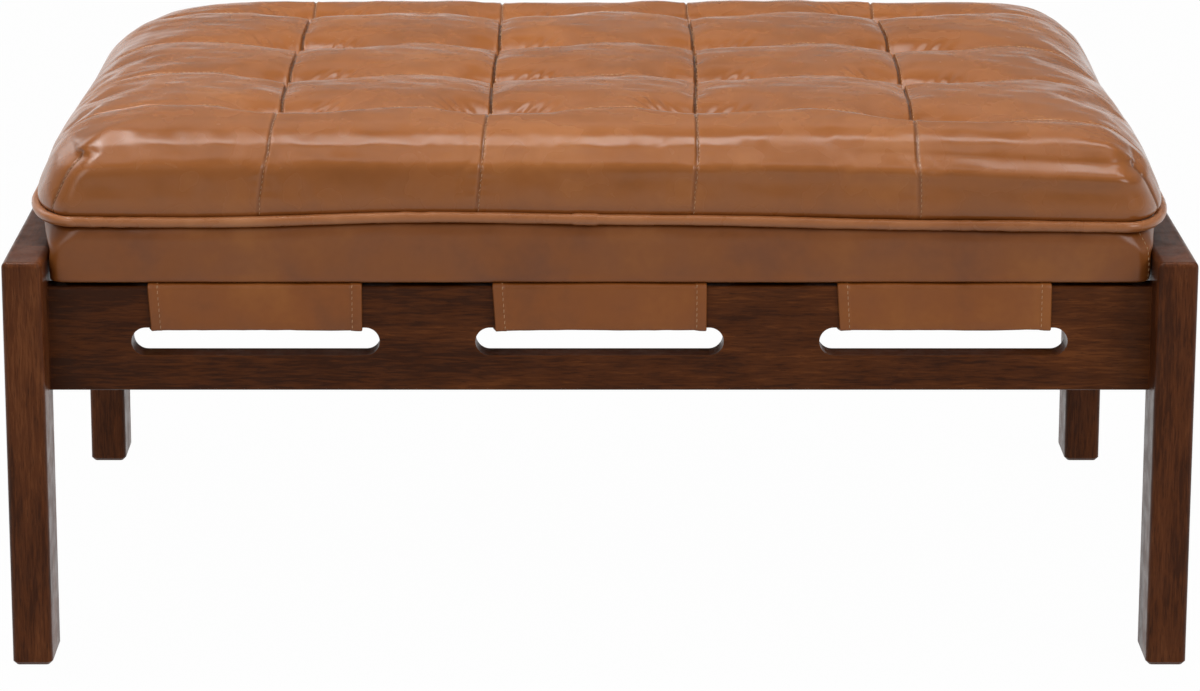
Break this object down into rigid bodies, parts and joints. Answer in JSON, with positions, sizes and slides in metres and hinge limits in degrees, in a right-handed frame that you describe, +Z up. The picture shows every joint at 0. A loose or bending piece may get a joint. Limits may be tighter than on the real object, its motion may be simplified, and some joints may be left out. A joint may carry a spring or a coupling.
{
  "type": "ottoman coffee table",
  "caption": "Low coffee table ottoman: a loose biscuit-tufted leather cushion with piping on a dark wooden frame, carried by wide leather straps through slotted rails.",
  "frame": {"origin": "the floor point under the middle of the table, centred between the four legs", "axes": "+X to the right along the table's length, +Y from the front towards the back, +Z up"},
  "size_m": [1, 0.68, 0.467],
  "materials": {
    "frame_wood": "satin",
    "slat_wood": "matte",
    "dowel_beech": "matte",
    "strap_leather": "satin",
    "cushion_leather": "satin",
    "border_leather": "satin",
    "piping_leather": "satin",
    "lining_cloth": "matte",
    "foam": "matte",
    "twine": "matte",
    "disc_plastic": "matte",
    "glide_nylon": "matte",
    "bracket_steel": "satin",
    "zinc_steel": "satin",
    "insert_brass": "satin",
    "zip_cloth": "matte",
    "zip_coil": "matte",
    "zip_metal": "satin"
  },
  "bodies": {
    "frame": {"back_centre_strap_clamp": "bracket_steel", "back_left_bracket": "bracket_steel", "back_left_glide": "glide_nylon", "back_left_inner_cleat": "slat_wood", "back_left_leg": "frame_wood", "back_left_outer_cleat": "slat_wood", "back_left_strap_clamp": "bracket_steel", "back_rail": "frame_wood", "back_right_bracket": "bracket_steel", "back_right_glide": "glide_nylon", "back_right_inner_cleat": "slat_wood", "back_right_leg": "frame_wood", "back_right_outer_cleat": "slat_wood", "back_right_strap_clamp": "bracket_steel", "bracket_bolts": "zinc_steel", "bracket_inserts": "insert_brass", "bracket_washers": "zinc_steel", "centre_strap": "strap_leather", "clamp_screws": "zinc_steel", "cleat_screws": "zinc_steel", "front_centre_strap_clamp": "bracket_steel", "front_left_bracket": "bracket_steel", "front_left_glide": "glide_nylon", "front_left_inner_cleat": "slat_wood", "front_left_leg": "frame_wood", "front_left_outer_cleat": "slat_wood", "front_left_strap_clamp": "bracket_steel", "front_rail": "frame_wood", "front_right_bracket": "bracket_steel", "front_right_glide": "glide_nylon", "front_right_inner_cleat": "slat_wood", "front_right_leg": "frame_wood", "front_right_outer_cleat": "slat_wood", "front_right_strap_clamp": "bracket_steel", "left_inner_slat": "slat_wood", "left_outer_slat": "slat_wood", "left_side_rail": "frame_wood", "left_strap": "strap_leather", "rail_dowels": "dowel_beech", "right_inner_slat": "slat_wood", "right_outer_slat": "slat_wood", "right_side_rail": "frame_wood", "right_strap": "strap_leather", "slat_screws": "zinc_steel"},
    "cushion": {"top_cover": "cushion_leather", "piping": "piping_leather", "lower_border": "border_leather", "bottom_cover": "lining_cloth", "foam_core": "foam", "tuft_ties": "twine", "tuft_discs": "disc_plastic", "zip_tape": "zip_cloth", "zip_chain": "zip_coil"},
    "zip_slider": {"zip_slider": "zip_metal"},
    "zip_pull": {"zip_pull": "zip_metal"}
  },
  "joints": [
    {"name": "cushion_lift", "type": "slide", "parent": "frame", "child": "cushion", "axis": [0, 0, 1], "range_m": [0, 0.15]},
    {"name": "zip_slide", "type": "slide", "parent": "cushion", "child": "zip_slider", "axis": [-1, 0, 0], "range_m": [0, 0.53]},
    {"name": "zip_pull_swing", "type": "hinge", "parent": "zip_slider", "child": "zip_pull", "pos_m": [0.265, 0.30425, 0.3522], "axis": [0, 0, -1], "range_deg": [0, 165]}
  ]
}
